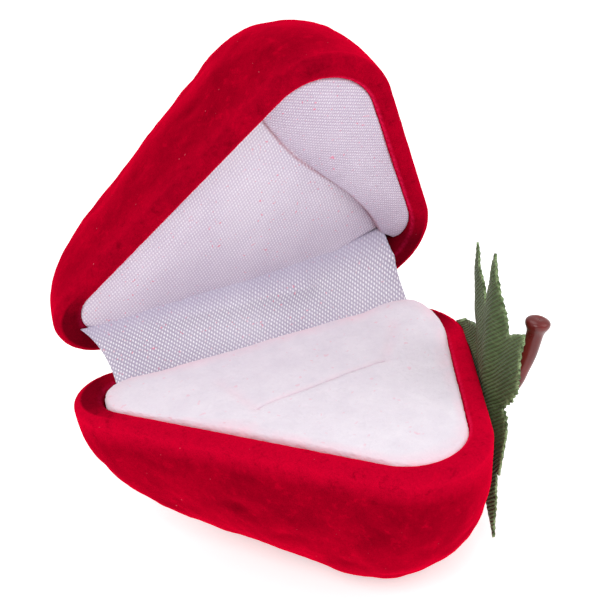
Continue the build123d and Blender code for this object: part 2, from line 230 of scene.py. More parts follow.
def ripple(points, size, seed, octaves=3):
    """Smooth noise, about -1 to 1, with features of that size in mm."""
    shift = Vector((seed * 7.3, seed * 3.1, seed * 5.7))
    return np.array([noise.fractal(Vector(p / size) + shift, 1.0, 2.0, octaves) for p in points])


def thicken(points, faces, thickness, uv):
    """Closed thin solid from an open sheet, whose other side is along its normals."""
    n = normals_of(points, faces)
    count = len(points)
    edges = dict.fromkeys(edge for f in faces for edge in zip(f, f[1:] + f[:1]))
    rim = [(a, b) for a, b in edges if (b, a) not in edges]
    solid = [tuple(f) for f in faces] + [tuple(i + count for i in reversed(f)) for f in faces]
    solid += [(b, a, a + count, b + count) for a, b in rim]
    return np.concatenate([points, points - n * thickness]), solid, np.concatenate([uv, uv])


# ------------------------------------------------ materials

def material(name):
    m = bpy.data.materials.new(name)
    m.use_nodes = True
    m.node_tree.nodes.clear()
    return m


def add(tree, kind, settings=None, **inputs):
    """A node, its settings and its inputs, each a value or another node's output.

    Inputs go by name, with _ for a space, or by number: i0, i1 and so on.
    """
    n = tree.nodes.new(kind)
    for key, value in (settings or {}).items():
        setattr(n, key, value)
    for key, value in inputs.items():
        numbered = key[0] == "i" and key[1:].isdigit()
        socket = n.inputs[int(key[1:]) if numbered else key.replace("_", " ")]
        if isinstance(value, bpy.types.NodeSocket):
            tree.links.new(value, socket)
        else:
            socket.default_value = value
    return n


def colour(r, g, b):
    """Linear colour from 0 to 255 screen values."""
    def linear(c):
        c /= 255
        return c / 12.92 if c <= 0.04045 else ((c + 0.055) / 1.055) ** 2.4
    return (linear(r), linear(g), linear(b), 1)


def noise_at(tree, where, scale, detail=3.0, roughness=0.5):
    return add(tree, "ShaderNodeTexNoise", Vector=where, Scale=scale, Detail=detail,
               Roughness=roughness).outputs["Fac"]


def remap(tree, value, low, high, to_low=0.0, to_high=1.0):
    return add(tree, "ShaderNodeMapRange", {"clamp": True}, i0=value, i1=low, i2=high, i3=to_low,
               i4=to_high).outputs[0]


def mix(tree, amount, a, b):
    return add(tree, "ShaderNodeMix", {"data_type": "RGBA"}, i0=amount, i6=a, i7=b).outputs[2]


def calc(tree, operation, a, b=0.0):
    return add(tree, "ShaderNodeMath", {"operation": operation}, i0=a, i1=b).outputs[0]


def bump(tree, height, strength, distance, normal=None):
    n = add(tree, "ShaderNodeBump", Height=height, Strength=strength, Distance=distance)
    if normal is not None:
        tree.links.new(normal, n.inputs["Normal"])
    return n.outputs[0]


def wash(tree, base, amount, share, tone):
    """The base colour with a share of another tone over it, as far as the amount goes."""
    return mix(tree, calc(tree, "MULTIPLY", amount, share), base, tone)


def vertex_field(tree, name):
    return add(tree, "ShaderNodeAttribute", {"attribute_name": name}).outputs["Fac"]


def surface(tree, **looks):
    """Ends a material with a principled shader that has these inputs."""
    shader = add(tree, "ShaderNodeBsdfPrincipled", **looks)
    add(tree, "ShaderNodeOutputMaterial", Surface=shader.outputs[0])


def object_place(tree):
    return add(tree, "ShaderNodeTexCoord").outputs["Object"]


def mapped(tree, where, scale=(1, 1, 1), angle=0.0):
    return add(tree, "ShaderNodeMapping", Vector=where, Rotation=(0, 0, math.radians(angle)),
               Scale=scale).outputs[0]


def velvet_material(name):
    """Short-pile red velvet: dark seen straight on, bright at grazing edges by a painted sheen,
    brushed in patches.
    """
    m = material(name)
    t = m.node_tree
    at = object_place(t)
    patches = noise_at(t, at, 150, 4, 0.6)
    mottle = noise_at(t, at, 620, 5, 0.75)
    pile = noise_at(t, at, 2600, 3, 0.7)
    base = mix(t, remap(t, patches, 0.35, 0.68), colour(124, 0, 21), colour(158, 0, 28))
    # painted shade in the dents
    base = wash(t, base, vertex_field(t, "dent"), 0.5, colour(92, 0, 14))
    # painted highlight on the rolled rim, where the light falls on it
    base = wash(t, base, vertex_field(t, "rim"), 0.6, colour(224, 4, 50))
    base = mix(t, remap(t, pile, 0.2, 0.8, 0.0, 0.34), base, colour(78, 0, 10))
    base = mix(t, remap(t, mottle, 0.46, 0.30, 0.0, 0.55), base, colour(96, 0, 14))
    base = mix(t, remap(t, mottle, 0.54, 0.72, 0.0, 0.45), base, colour(200, 0, 38))
    # painted sheen: bright where the pile is seen at a grazing angle
    facing = add(t, "ShaderNodeLayerWeight", Blend=0.35).outputs["Facing"]
    base = mix(t, calc(t, "POWER", facing, 1.9), base, colour(238, 4, 50))
    # painted highlight on the loose pile along the inner lip, and painted shade behind the ends of
    # the strip
    fuzz = remap(t, noise_at(t, at, 1800, 2, 0.7), 0.35, 0.6, 0.25, 1.0)
    lip = calc(t, "MULTIPLY", vertex_field(t, "lip"), 0.75)
    base = mix(t, calc(t, "MULTIPLY", lip, fuzz), base, colour(244, 30, 84))
    base = wash(t, base, vertex_field(t, "recess"), 0.72, colour(58, 2, 12))
    lint = remap(t, noise_at(t, at, 1500, 1, 0.5), 0.79, 0.82)
    base = wash(t, base, lint, 0.35, colour(236, 130, 145))
    height = bump(t, pile, 0.6, 0.00022)
    height = bump(t, mottle, 0.35, 0.0005, height)
    height = bump(t, patches, 0.45, 0.0010, height)
    surface(t, Base_Color=base, Roughness=0.95, Normal=height, Specular_IOR_Level=0.0,
            Sheen_Weight=0.12, Sheen_Roughness=0.35, Sheen_Tint=colour(255, 0, 50))
    return m


def satin_material(name, angle, pitch, shear, ground, shade, strength=1.0):
    """Satin: a slanting lattice of small bright floats on a lilac ground, with pink flock dust.

    pitch is the lattice's spacing in mm along and across its rows, and shear slants one on the
    other. Two vertex fields add painted shade: one greys the cloth, the other marks the crease.
    """
    m = material(name)
    t = m.node_tree
    cloth = add(t, "ShaderNodeUVMap", {"uv_map": "cloth"}).outputs[0]
    at = object_place(t)
    turned = add(t, "ShaderNodeSeparateXYZ", Vector=mapped(t, cloth, (1, 1, 1), angle))
    drift = calc(t, "MULTIPLY", noise_at(t, cloth, 0.35, 2, 0.5), 0.5)
    along = calc(t, "ADD", turned.outputs[0], drift)
    across = calc(t, "ADD", turned.outputs[1], calc(t, "MULTIPLY", turned.outputs[0], shear))
    rows = calc(t, "SINE", calc(t, "MULTIPLY", along, 2 * math.pi / pitch[0]))
    floats = calc(t, "SINE", calc(t, "MULTIPLY", across, 2 * math.pi / pitch[1]))
    lattice = calc(t, "MULTIPLY", remap(t, rows, -1, 1), remap(t, floats, -1, 1))
    uneven = remap(t, noise_at(t, cloth, 2.2, 2, 0.6), 0.3, 0.7, 0.45, 1.0)
    soft = noise_at(t, at, 70, 3, 0.5)
    dust = remap(t, noise_at(t, at, 1900, 1, 0.5), 0.70, 0.74)
    specks = calc(t, "MULTIPLY", dust, remap(t, noise_at(t, at, 90, 2, 0.5), 0.38, 0.58))
    base = mix(t, remap(t, soft, 0.35, 0.65), ground, shade)
    bright = calc(t, "MULTIPLY", remap(t, lattice, 0.26, 0.62, 0.0, 0.85 * strength), uneven)
    base = mix(t, remap(t, lattice, 0.16, 0.0, 0.0, 0.20 * strength), base, colour(132, 122, 150))
    base = mix(t, bright, base, colour(253, 251, 254))
    base = wash(t, base, specks, 0.6, colour(232, 90, 125))
    # painted shade on the strip's top band
    base = wash(t, base, vertex_field(t, "bend_shade"), 0.55, colour(176, 166, 192))
    # painted shade along the crease
    base = wash(t, base, vertex_field(t, "crease_shade"), 0.7, colour(150, 70, 84))
    height = bump(t, lattice, 0.45 * strength, 0.00012)
    height = bump(t, soft, 0.1, 0.0008, height)
    surface(t, Base_Color=base, Normal=height, Roughness=remap(t, lattice, 0.2, 0.7, 0.55, 0.30),
            Sheen_Weight=0.15, Sheen_Roughness=0.35, Anisotropic=0.4)
    return m


def flock_material(name):
    """White flock with pink dust, a painted reflection of the velvet's red light near its edges,
    and pink painted shade in the slit.
    """
    m = material(name)
    t = m.node_tree
    at = object_place(t)
    fluff = noise_at(t, at, 1500, 4, 0.7)
    clumps = noise_at(t, at, 260, 3, 0.6)
    dust = remap(t, noise_at(t, at, 1000, 1, 0.5), 0.69, 0.75)
    base = mix(t, remap(t, clumps, 0.3, 0.7), colour(221, 213, 223), colour(230, 223, 231))
    base = mix(t, remap(t, fluff, 0.35, 0.55, 0.14, 0.0), base, colour(204, 192, 210))
    # painted reflection of the velvet's red light near the pad's edges, and pink painted shade
    # along the slit's lips and creases
    pink = calc(t, "MULTIPLY", vertex_field(t, "edge"), remap(t, clumps, 0.35, 0.6, 0.25, 0.8))
    base = mix(t, pink, base, colour(240, 176, 194))
    base = wash(t, base, dust, 0.25, colour(236, 120, 150))
    height = bump(t, fluff, 0.5, 0.0003)
    height = bump(t, clumps, 0.15, 0.0008, height)
    surface(t, Base_Color=base, Roughness=0.95, Normal=height, Specular_IOR_Level=0.1,
            Sheen_Weight=0.5, Sheen_Roughness=0.6)
    return m


def leaf_material(name):
    """Green ribbon cloth: fine slanting ribs with brown and pale threads between them, and pale
    frayed edges."""
    m = material(name)
    t = m.node_tree
    cloth = add(t, "ShaderNodeUVMap", {"uv_map": "cloth"}).outputs[0]
    at = object_place(t)
    slant = -42
    ribs = add(t, "ShaderNodeTexWave", {"bands_direction": "X"},
               Vector=mapped(t, cloth, (1, 1, 1), slant), Scale=0.62, Distortion=0.35, Detail=1.5,
               Detail_Scale=2.0).outputs["Fac"]
    threads = noise_at(t, mapped(t, cloth, (0.7, 5, 1), slant), 1.0, 2, 0.6)
    patches = noise_at(t, at, 160, 3, 0.5)
    base = mix(t, remap(t, patches, 0.3, 0.7), colour(70, 92, 54), colour(96, 117, 74))
    base = mix(t, remap(t, ribs, 0.45, 0.0, 0.0, 0.7), base, colour(62, 54, 36))
    base = mix(t, remap(t, threads, 0.5, 0.75, 0.0, 0.5), base, colour(132, 150, 106))
    ends = remap(t, noise_at(t, at, 1400, 2, 0.6), 0.4, 0.6)
    fray = calc(t, "MULTIPLY", vertex_field(t, "fray"), ends)
    base = mix(t, fray, base, colour(150, 172, 124))
    height = bump(t, ribs, 0.8, 0.00030)
    height = bump(t, threads, 0.4, 0.0001, height)
    surface(t, Base_Color=base, Roughness=0.62, Normal=height, Specular_IOR_Level=0.15,
            Sheen_Weight=0.05)
    return m


def stem_material(name):
    """Glossy brown-red lacquer, a little streaky along the stalk."""
    m = material(name)
    t = m.node_tree
    at = object_place(t)
    streaks = noise_at(t, mapped(t, at, (1, 1, 0.35)), 700, 4, 0.6)
    patches = noise_at(t, at, 190, 2, 0.5)
    base = mix(t, remap(t, patches, 0.35, 0.65), colour(98, 26, 26), colour(132, 44, 38))
    base = mix(t, remap(t, streaks, 0.5, 0.75, 0.0, 0.5), base, colour(70, 14, 18))
    height = bump(t, streaks, 0.25, 0.0002)
    surface(t, Base_Color=base, Roughness=remap(t, streaks, 0.3, 0.7, 0.26, 0.4), Normal=height,
            Specular_IOR_Level=0.3, Coat_Weight=0.22, Coat_Roughness=0.15)
    return m


def plain_material(name, low, high, scale, roughness, metallic=0.0, stretch=(1, 1, 1)):
    """Grained material for the hidden hard parts."""
    m = material(name)
    t = m.node_tree
    grain = noise_at(t, mapped(t, object_place(t), stretch), scale, 4, 0.6)
    base = mix(t, remap(t, grain, 0.3, 0.7), colour(*low), colour(*high))
    height = bump(t, grain, 0.3, 0.0002)
    surface(t, Base_Color=base, Metallic=metallic, Normal=height,
            Roughness=remap(t, grain, 0.3, 0.7, roughness - 0.08, roughness + 0.08))
    return m


VELVET = velvet_material("velvet_pile")
SATIN_MAIN = satin_material("satin_main", 20, (0.40, 0.58), 0.35, colour(200, 186, 206),
                            colour(216, 204, 220), 0.8)
SATIN_END = satin_material("satin_end", -28, (0.34, 0.50), 0.3, colour(184, 167, 188),
                           colour(202, 188, 206), 0.7)
# the strip is the lining's satin with a darker ground: painted shade in the hinge corner
SATIN_STRIP = satin_material("satin_strip_cloth", 24, (0.42, 0.62), 0.45, colour(179, 170, 190),
                             colour(197, 189, 206), 1.1)
FLOCK = flock_material("flock_white")
LEAF = leaf_material("leaf_ribbon")
STEM = stem_material("stem_lacquer")
STEEL = plain_material("hinge_steel_brushed", (150, 150, 148), (196, 196, 192), 900, 0.34,
                       metallic=1.0, stretch=(0.15, 1, 1))
WEIGHT = plain_material("weight_steel_turned", (96, 96, 98), (128, 128, 130), 700, 0.42,
                        metallic=1.0)
SHELL = plain_material("shell_moulding", (72, 4, 12), (96, 8, 18), 300, 0.55)
CARD = plain_material("grey_card", (176, 170, 158), (204, 198, 186), 500, 0.85)


def dress(piece, mat, body, slot, *nodes):
    """Material, body and the CAD nodes that a new piece stands for. slot is not used."""
    piece.data.materials.append(mat)
    if nodes:
        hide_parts(*nodes)
    if body:
        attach(piece, body)
    return piece


# the hard parts keep their CAD meshes
HINGE_PARTS = ("lid_hinge_leaf", "lid_hinge_rivets", "base_hinge_leaf", "base_hinge_rivets",
               "hinge_pin")
for mat, cad_nodes in ((SHELL, ("base_shell", "lid_shell")), (WEIGHT, ("base_weight",)),
                       (STEEL, HINGE_PARTS), (CARD, ("pad_board", "lid_board"))):
    for cad_node in cad_nodes:
        materials = frame["nodes"][cad_node].data.materials
        materials.clear()
        materials.append(mat)


# ------------------------------------------------ velvet

def dome_ring(angle, offset, depth, start, lid):
    """(loop, height below the parting plane) of the dome at an angle in degrees."""
    a = math.radians(angle)
    fall = math.sin(a) ** (2 / DOME_POWER)
    closing = (DOME_REACH - offset) * (1 - max(math.cos(a), 0) ** (2 / DOME_POWER))
    back = offset + closing * (1 - (0 if lid else BACK_FULLNESS) * fall**2)
    return outline(offset + closing, back, fall, offset), start + depth * fall


def shrunk(loop, share):
    centre = loop.mean(0)
    return centre + (loop - centre) * share


# how far below the parting plane the rolled rim's crest is, how far its sides fall from there, and
# where the dome starts
CREST = 0.12
ROLL = 1.28
DOME_START = 1.45
# where the dome's rings end: the lid's would cross over on the way to 90 degrees
LID_LAST_ANGLE = 82.5
LID_INNER_LAST_ANGLE = 75.0
DENT_SPACING = 7.6
DENT_DEPTH = 0.26


def velvet(name, lid):
    """Velvet with its hem, its padded rim and its dome, as one closed skin.

    Each ring is (loop, depth, rim), where rim, the share of painted highlight it gets, is 1 on the
    rolled rim and up to 2 on its inner lip.
    """
    last = LID_LAST_ANGLE if lid else FOOT_ANGLE
    inner_last = LID_INNER_LAST_ANGLE if lid else FOOT_ANGLE
    full = LID_DEPTH if lid else BASE_DEPTH
    inner = [dome_ring(inner_last * k**1.5, SKIN, full - 2 * SKIN, SKIN, lid)
             for k in np.linspace(0, 1, 10)]
    rings = [(shrunk(inner[-1][0], share), inner[-1][1], 0) for share in (0.1, 0.5)]
    rings += [(loop, depth, 0) for loop, depth in reversed(inner)]
    rings += [(outline(HEM_INSET, None, HEM_FALL, HEM_INSET), depth, 0) for depth in (SKIN, HEM)]
    first_outer = len(rings)
    rings += [(outline(RIM, None, HEM_FALL, RIM), depth, 0.6)
              for depth in (HEM, 4.0, 3.0, 2.2, 1.7)]
    past_crest = len(rings) + 10
    for angle in np.linspace(0, 180, 17):
        a = math.radians(angle)
        inset = RIM / 2 * (1 + math.copysign(abs(math.cos(a)) ** 0.8, math.cos(a)))
        depth = CREST + ROLL * (1 - math.sin(a) ** 0.75)
        lip = max(0, 1 - abs(angle - 34) / 22)
        rings.append((outline(inset, None, HEM_FALL * inset / RIM, inset), depth, 1.0 + lip))
    # rings of the dome, evenly spaced along its curve
    first = math.degrees(math.asin((DOME_START / full) ** (DOME_POWER / 2)))
    trial = np.radians(first + (last - first) * np.linspace(0, 1, 600) ** 2)
    fallen = full * np.sin(trial) ** (2 / DOME_POWER)
    closed_in = DOME_REACH * (1 - np.cos(trial) ** (2 / DOME_POWER))
    run = np.concatenate([[0], np.cumsum(np.hypot(np.diff(fallen), np.diff(closed_in)))])
    for angle in np.interp(np.linspace(0, run[-1], 70 if lid else 64), run, trial):
        loop, depth = dome_ring(math.degrees(angle), 0, full, 0, lid)
        rings.append((loop, depth, max(0.0, 1 - (depth - DOME_START) / 3.2)))
    edge, bottom = rings[-1][:2]
    rings += [(shrunk(edge, share), bottom, 0) for share in (0.93, 0.8, 0.6, 0.4, 0.2, 0.08)]
    around = len(rings[0][0])
    sign = 1 if lid else -1
    points = np.concatenate([placed(loop, sign * depth) for loop, depth, _ in rings])
    depths = np.concatenate([np.full(around, depth) for _, depth, _ in rings])
    rim = np.concatenate([np.full(around, r) for _, _, r in rings])
    ends = [points[:around].mean(0), points[-around:].mean(0)]
    points = np.concatenate([points, ends])
    depths = np.concatenate([depths, [depths[0], depths[-1]]])
    rim = np.concatenate([rim, [0, 0]])
    lip = clamped(rim - 1)
    # the lid's rim faces away from the light, so it gets less of the painted highlight
    rim = clamped(rim) * (0.35 if lid else 1.0)
    faces = ring_faces(len(rings), around)
    if not lid:
        faces = [f[::-1] for f in faces]
    ring = np.arange(len(points)) // around
    outer = ring >= first_outer
    outer[-2] = False
    n = normals_of(points, faces)
    if (n[outer] * (points[outer] - points[outer].mean(0))).sum() < 0:
        faces = [f[::-1] for f in faces]
        n = -n
    # dents, like seed dimples pressed in the pile, away from the rim and from each other
    rng = random.Random(11 if lid else 5)
    highest, lowest = (8.5, 25.6) if lid else (9.5, RIM_HEIGHT - 2.2)
    able = np.where(outer & (depths > highest) & (depths < lowest))[0]
    chosen = []
    for _ in range(5000):
        i = able[rng.randrange(len(able))]
        if all(np.linalg.norm(points[i] - points[j]) > DENT_SPACING for j in chosen):
            chosen.append(i)
    dent = np.zeros(len(points))
    for i in chosen:
        side = np.cross(n[i], (0, 0, 1))
        side = unit(side) if np.linalg.norm(side) > 0.2 else np.array([1.0, 0, 0])
        down = np.cross(n[i], side)
        swing = rng.uniform(-0.35, 0.35)
        c, s = math.cos(swing), math.sin(swing)
        side, down = side * c + down * s, down * c - side * s
        d = points - points[i]
        reach = ((d @ side) / rng.uniform(2.3, 3.0)) ** 2
        reach += ((d @ down) / rng.uniform(0.95, 1.25)) ** 2
        near = reach + ((d @ n[i]) / 3.0) ** 2
        dent = np.maximum(dent, np.exp(-near) * rng.uniform(0.7, 1.0))
    dent[~outer] = 0
    soft = clamped((depths - 4) / 8) * outer
    # the inner side of the rim is in deep shade behind both ends of the hinge strip
    along, across = points[:, 0] - APEX[0], points[:, 1] - APEX[1]
    ends = clamped((along - 59) / 4) + clamped((19 - along) / 4)
    recess = ends * clamped((across + 15) / 6) * (ring < past_crest)
    wave = ripple(points, 9.0, 3 if lid else 1, 3) * 0.30
    wave += ripple(points, 3.2, 4 if lid else 2, 2) * 0.10
    shift = wave * soft - DENT_DEPTH * dent + outer * ripple(points, 1.1, 9, 2) * 0.035
    if lid:
        # fuller away from the hinge, but not at the wide end
        fuller = clamped(-across / 30) * clamped((58 - along) / 14)
        shift += 0.5 * soft * fuller
    else:
        shift *= clamped((points[:, 2] - 0.3) / 2.0)
    points = points + n * shift[:, None]
    # room for the hinge leaf, which crosses the rim
    x = np.abs(points[:, 0] - HINGE_AXIS[0]) - (HINGE_LENGTH / 2 + 0.3)
    y = APEX[1] - points[:, 1]
    over = clamped(1 - x / 0.8) * ((y < RIM + 1) & (y > -1) & (depths < 1.4))
    height = (points[:, 2] - RIM_HEIGHT) * sign
    height = np.maximum(height, height * (1 - over) + np.maximum(height, 0.7) * over)
    points[:, 2] = RIM_HEIGHT + sign * height
    if lid:
        points = opened(points)
    else:
        points[:, 2] = np.maximum(points[:, 2], 0)
    fields = {"dent": dent, "rim": rim, "lip": lip, "recess": recess}
    return make_mesh(name, points, faces, fields=fields)


dress(velvet("base_velvet_pile", False), VELVET, "base", "velvet", "base_velvet")
dress(velvet("lid_velvet_pile", True), VELVET, "lid", "velvet", "lid_velvet")


# ------------------------------------------------ padded pieces

def cushion(name, loop, core, face, back, roll, rows, lid, finish=None, slit=None):
    """Closed padded form: a face height over the loop, edges rolled over by an arc, and a back.

    core holds, for each point of the loop, the point that its row of the face runs to. With slit
    (depth, lip) the core is an open slit that the face rolls down into. face and back give heights
    in the hinge frame, and finish works on the points before they are placed.
    """
    around = len(loop)
    run = np.linalg.norm(core - loop, axis=1)
    levels = [("back", 0.15), ("side", 0)]
    levels += [("roll", a) for a in np.linspace(0, 90, 8)]
    levels += [("face", t) for t in np.linspace(0, 1, rows + 1)[1:]]
    rings, heights, fields = [], [], []
    for kind, value in levels:
        inner = 0 * run
        if kind == "back":
            p = loop + (core - loop) * value
            h = back(p)
        elif kind == "side":
            p = loop
            h = back(loop) * 0.92 + face(loop) * 0.08
        else:
            if kind == "roll":
                inner = np.minimum(roll * (1 - math.cos(math.radians(value))), run)
            else:
                inner = roll + (run - roll) * value
            p = loop + (core - loop) * np.minimum(inner / np.maximum(run, 1e-6), 1)[:, None]
            left = clamped(1 - inner / roll)
            drop = roll * (1 - np.sqrt(clamped(1 - left**2)))
            if slit:
                near = clamped(1 - (run - inner) / slit[1])
                drop = drop + slit[1] * 0.9 * (1 - np.sqrt(clamped(1 - near**2)))
            h = face(p) + (drop if lid else -drop)
        rings.append(p)
        heights.append(np.broadcast_to(h, around))
        fields.append(clamped(1 - inner / 3.0))
    if slit:
        for share in (0.3, 0.65, 1.0):
            rings.append(core)
            heights.append(heights[len(levels) - 1] + (1 if lid else -1) * share * slit[0])
            fields.append(0 * run + 1)
    points = np.concatenate([np.column_stack([p, h]) for p, h in zip(rings, heights)])
    edge = np.concatenate(fields)
    ends = [points[:around].mean(0), points[-around:].mean(0)]
    points = np.concatenate([points, ends])
    edge = np.concatenate([edge, [0, edge[-1]]])
    if slit is None:
        points[-1, 2] = face(points[-1:, :2])[0]
    uv = points[:, :2].copy()
    faces = ring_faces(len(rings), around)
    shown = np.arange(len(points)) >= 2 * around
    shown[-2] = False
    # painted shade along the crease of the lid's lining and end panel
    folded = on_crease(points) if lid else 0 * edge
    if finish is not None:
        points, edge = finish(points, edge, shown)
    points = points + APEX
    if lid:
        points = opened(points)
    n = normals_of(points, faces)
    if (n * (points - points.mean(0))).sum() < 0:
        faces = [f[::-1] for f in faces]
    return make_mesh(name, points, faces, uv=uv, fields={"edge": edge, "crease_shade": folded})


# the crease along which the lid's end panel folds up: a line that bows and swings a little
CREASE_FROM = np.array([42.2, -35.6])
CREASE_TO = np.array([64.4, -7.5])
CREASE_BOW = 0.5
CREASE_SWING = -0.9
crease_along = unit(CREASE_TO - CREASE_FROM)
crease_out = np.array([crease_along[1], -crease_along[0]])


def crease_offset(share):
    """How far the crease bends from its straight line, towards the end panel."""
    return CREASE_BOW * np.sin(math.pi * share) + CREASE_SWING * np.sin(2 * math.pi * share)


def on_crease(p):
    """1 on the crease, falling off within a fifth of a mm."""
    q = p[:, :2] - CREASE_FROM
    share = clamped(q @ crease_along / np.linalg.norm(CREASE_TO - CREASE_FROM))
    return np.exp(-((q @ crease_out - crease_offset(share)) / 0.2) ** 2)


# ring cushion, with its outline drawn out at the tip and at the wide end of the hinge side
SLIT_FROM = np.array([33.6, -20.8])
SLIT_TO = np.array([54.7, -17.7])
pad_loop = outline(PAD_INSET - 0.5, PAD_BACK - 0.7, HEM_FALL, PAD_INSET)
pad_loop[:, 0] -= 1.4 * clamped((24 - pad_loop[:, 0]) / 12)
pad_loop[:, 1] += 0.8 * clamped((24 - pad_loop[:, 0]) / 8) * (pad_loop[:, 1] > -9)
hinge_end = clamped((pad_loop[:, 0] - 57) / 7) * clamped((pad_loop[:, 1] + 18) / 9)
pad_loop += hinge_end[:, None] * (1.0, 2.0)
SLIT_HALF_GAP = 0.05


def near_segment(p, a, b):
    """For each point, the nearest one on the segment."""
    t = clamped(((p - a) @ (b - a)) / ((b - a) @ (b - a)))
    return a + t[:, None] * (b - a)


on_slit = near_segment(pad_loop, SLIT_FROM, SLIT_TO)
gap = pad_loop - on_slit
pad_core = on_slit + gap / np.linalg.norm(gap, axis=1)[:, None] * SLIT_HALF_GAP


def pad_face(p):
    """Crowned in the middle, and higher along the hinge side."""
    middle = np.array([45.0, -22.0])
    away = np.linalg.norm((p - middle) / (26, 17), axis=1)
    behind = clamped((p[:, 1] + 22) / 16) ** 1.5
    return PAD_TOP + 0.7 * clamped(1 - away**2) + behind * (0.3 + 0.033 * p[:, 0])


def crease(p, a, b, width):
    """1 on a straight crease, falling off over its width."""
    q = near_segment(p, np.array(a), np.array(b))
    return np.exp(-(np.linalg.norm(p - q, axis=1) / width) ** 2)


def pad_finish(points, edge, shown):
    flat = points[:, :2]
    folds = crease(flat, SLIT_FROM, (31.0, -12.6), 0.9) + crease(flat, SLIT_TO, (60.2, -9.8), 0.9)
    lips = 0.25 * crease(flat, SLIT_FROM, SLIT_TO, 0.5)
    fluff = ripple(points, 7.0, 21, 2) * 0.12 + ripple(points, 1.0, 22, 2) * 0.05
    points[:, 2] += shown * (fluff - 0.18 * folds)
    rng = np.random.default_rng(7)
    ragged = shown & (edge > 0.25)
    points[ragged, :2] += rng.normal(0, 0.03, (int(ragged.sum()), 2))
    # the pink field: painted reflection near the edge, painted shade on the slit's lips and creases
    return points, clamped(np.maximum(edge * 0.6, np.maximum(lips, 0.2 * folds)))


def pad_back(p):
    return np.full(len(p), PAD_BOTTOM + 2.0)


pad = cushion("ring_pad", pad_loop, pad_core, pad_face, pad_back, 0.8, 46, False, pad_finish,
              slit=(6.5, 0.30))
dress(pad, FLOCK, "base", "flock", "ring_foam", "pad_cover")
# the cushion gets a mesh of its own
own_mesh(pad)

# satin over wadding, across the whole lid, with its outline drawn out at the tip
lining_loop = outline(LINING_INSET - 0.3, LINING_BACK - 0.3, HEM_FALL, LINING_INSET)
tip_end = clamped((26 - lining_loop[:, 0]) / 10)
lining_loop[:, 0] -= 1.3 * tip_end
lining_loop[:, 1] += 1.7 * tip_end * clamped((lining_loop[:, 1] + 13) / 4)
lining_middle = np.repeat(np.array([[43.0, -20.0]]), len(lining_loop), 0)


def lining_depth(p):
    """Where the lining lies in the lid: deeper towards the wide end."""
    return LINING_START + LINING_SLOPE * p[:, 0]


def lining_face(p):
    middle = np.array([38.0, -20.0])
    away = np.linalg.norm((p - middle) / (27, 16), axis=1)
    return lining_depth(p) - 0.7 * clamped(1 - away**2)


def lining_back(p):
    return lining_depth(p) + 1.45


def lining_finish(points, edge, shown):
    points[:, 2] += shown * (ripple(points, 11.0, 31, 2) * 0.22 + ripple(points, 3.0, 32, 2) * 0.05)
    return points, edge


lining = cushion("lid_satin_panel", lining_loop, lining_middle, lining_face, lining_back, 0.7, 60,
                 True, lining_finish)
dress(lining, SATIN_MAIN, "lid", "satin", "lid_satin", "lid_wadding")


def resampled(p, count):
    """Closed loop with evenly spaced points."""
    q = np.concatenate([p, p[:1]])
    s = np.concatenate([[0], np.cumsum(np.linalg.norm(np.diff(q, axis=0), axis=1))])
    t = np.linspace(0, s[-1], count, endpoint=False)
    return np.column_stack([np.interp(t, s, q[:, 0]), np.interp(t, s, q[:, 1])])


# padded end panel, folded up along the crease; its outline runs along the wall beyond the crease
# and then back along the crease
PANEL_INSET = 3.05
wall = outline(PANEL_INSET, None, HEM_FALL, PANEL_INSET)
beyond = (wall - CREASE_FROM) @ crease_out
wall = wall[(beyond > 0.2) & (wall[:, 1] < -7.0)]
share = np.linspace(0, 1, 60)[1:-1, None]
crease_line = CREASE_FROM + (CREASE_TO - CREASE_FROM) * share + crease_out * crease_offset(share)
if np.linalg.norm(wall[-1] - crease_line[0]) > np.linalg.norm(wall[-1] - crease_line[-1]):
    crease_line = crease_line[::-1]
panel_loop = resampled(np.concatenate([wall, crease_line]), 220)
panel_middle = np.repeat(np.array([[57.0, -25.5]]), len(panel_loop), 0)


def panel_face(p):
    """From the lining at the crease, up towards the parting plane."""
    q = np.clip((p - CREASE_FROM) @ crease_out + 0.6, 0, 20)
    rise = (lining_depth(p) - 0.7) * (1 - np.exp(-q / 2.6))
    return lining_depth(p) - rise


def panel_back(p):
    return lining_depth(p) + 0.1


def panel_finish(points, edge, shown):
    points[:, 2] += shown * (ripple(points, 7.0, 41, 2) * 0.20 + ripple(points, 2.0, 42, 2) * 0.05)
    return points, edge


panel = cushion("lid_end_flap", panel_loop, panel_middle, panel_face, panel_back, 0.55, 18, True,
                panel_finish)
dress(panel, SATIN_END, "lid", "satin", "lid_end_panel")


# ------------------------------------------------ satin strip over the hinge

